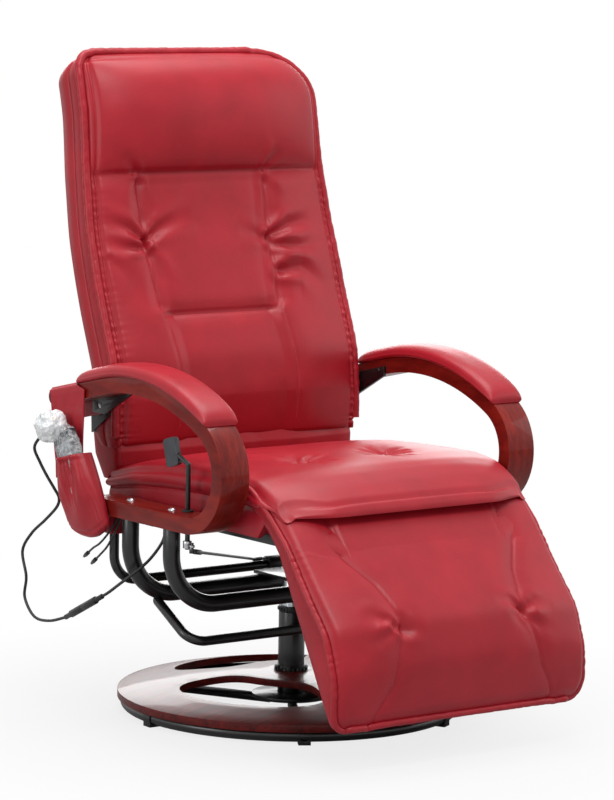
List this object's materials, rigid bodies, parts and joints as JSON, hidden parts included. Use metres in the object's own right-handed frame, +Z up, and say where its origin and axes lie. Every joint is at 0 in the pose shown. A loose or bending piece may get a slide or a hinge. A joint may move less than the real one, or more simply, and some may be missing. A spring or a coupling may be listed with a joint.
{
  "type": "swivel recliner chair",
  "caption": "Leather swivel recliner with a joined footrest, curved wooden arms, release lever, handset pouch and a round wooden base on a black steel under-frame.",
  "frame": {"origin": "floor point under the middle of the bounding box; the axis of the column and the swivel stands at x 27.7 mm, y 48.4 mm", "axes": "+Z up along the column, -Y to the front of the chair, +X to the left hand of the sitter"},
  "size_m": [0.6994, 0.8464, 1.084],
  "materials": {
    "black_steel": "satin black powder coat",
    "plain_steel": "zinc plated",
    "wood": "gloss mahogany stain lacquer",
    "red_leather": "semi-gloss",
    "plywood": "raw",
    "board": "raw",
    "black_plastic": "matte",
    "grey_plastic": "satin",
    "bearing_plastic": "natural",
    "rubber": "matte",
    "keypad": "satin",
    "film": "clear film",
    "motor": "satin"
  },
  "bodies": {
    "base": {"ring_tube": "black_steel", "foot_clips": "black_plastic", "spokes": "black_steel", "hub_plate": "black_steel", "base_disc": "wood", "disc_spacers": "rubber", "disc_screws": "plain_steel", "column": "black_steel", "column_collar": "black_plastic", "column_bushings": "bearing_plastic"},
    "chair": {"swivel_post": "plain_steel", "column_cap": "black_plastic", "centre_plate": "black_steel", "front_u_tube": "black_steel", "rear_u_tube": "black_steel", "lower_hoop": "black_steel", "cross_tube": "black_steel", "cross_blocks": "red_leather", "block_screws": "plain_steel", "arm_left": "wood", "arm_right": "wood", "arm_pad_left": "red_leather", "arm_pad_right": "red_leather", "arm_bolts": "plain_steel", "recline_brackets": "black_steel", "bracket_screws": "black_steel", "lever_grommet": "rubber", "latch_block": "black_plastic", "seat_rails": "black_steel", "seat_brackets": "black_steel", "seat_board": "plywood", "seat_cushion": "red_leather", "pivot_bolts": "plain_steel", "pivot_spacers": "bearing_plastic", "hinge_rod": "plain_steel", "hinge_ears": "black_steel", "pouch_body": "red_leather", "pouch_strap": "red_leather", "handset_shell": "black_plastic", "handset_keypad": "keypad", "film_bag": "film", "handset_cord": "rubber", "connector_male": "black_plastic", "connector_female": "black_plastic", "frame_lead": "rubber", "cord_grommet": "black_plastic", "power_leads": "rubber", "power_plugs": "black_plastic"},
    "backrest": {"back_cushion": "red_leather", "back_panel": "plywood", "back_cover": "red_leather", "massage_motors": "motor", "back_side_plates": "black_steel"},
    "footrest": {"footrest_cushion": "red_leather", "footrest_board": "board"},
    "lever": {"lever_rod": "black_steel", "lever_paddle": "grey_plastic", "lever_crank": "plain_steel"},
    "release_rod": {"release_rod": "black_steel", "release_pin": "plain_steel"}
  },
  "joints": [
    {"name": "swivel", "type": "hinge", "parent": "base", "child": "chair", "pos_m": [0.02773, 0.04841, 0.1], "axis": [0, 0, 1], "continuous": true},
    {"name": "recline", "type": "hinge", "parent": "chair", "child": "backrest", "pos_m": [0.02773, 0.23441, 0.508], "axis": [-1, 0, 0], "range_deg": [0, 35]},
    {"name": "footrest_lift", "type": "hinge", "parent": "chair", "child": "footrest", "pos_m": [0.02773, -0.25759, 0.35], "axis": [-1, 0, 0], "range_deg": [0, 49]},
    {"name": "lever_turn", "type": "hinge", "parent": "chair", "child": "lever", "pos_m": [-0.25027, -0.04059, 0.4], "axis": [0, 0, 1], "range_deg": [0, 25]},
    {"name": "rod_push", "type": "slide", "parent": "chair", "child": "release_rod", "axis": [1, 0, 0], "range_m": [0, 0.00865]}
  ],
  "couplings": [
    {"joint": "footrest_lift", "follows": "recline", "ratio": 1.4},
    {"joint": "lever_turn", "follows": "rod_push", "rad_per_m": 50.403}
  ]
}
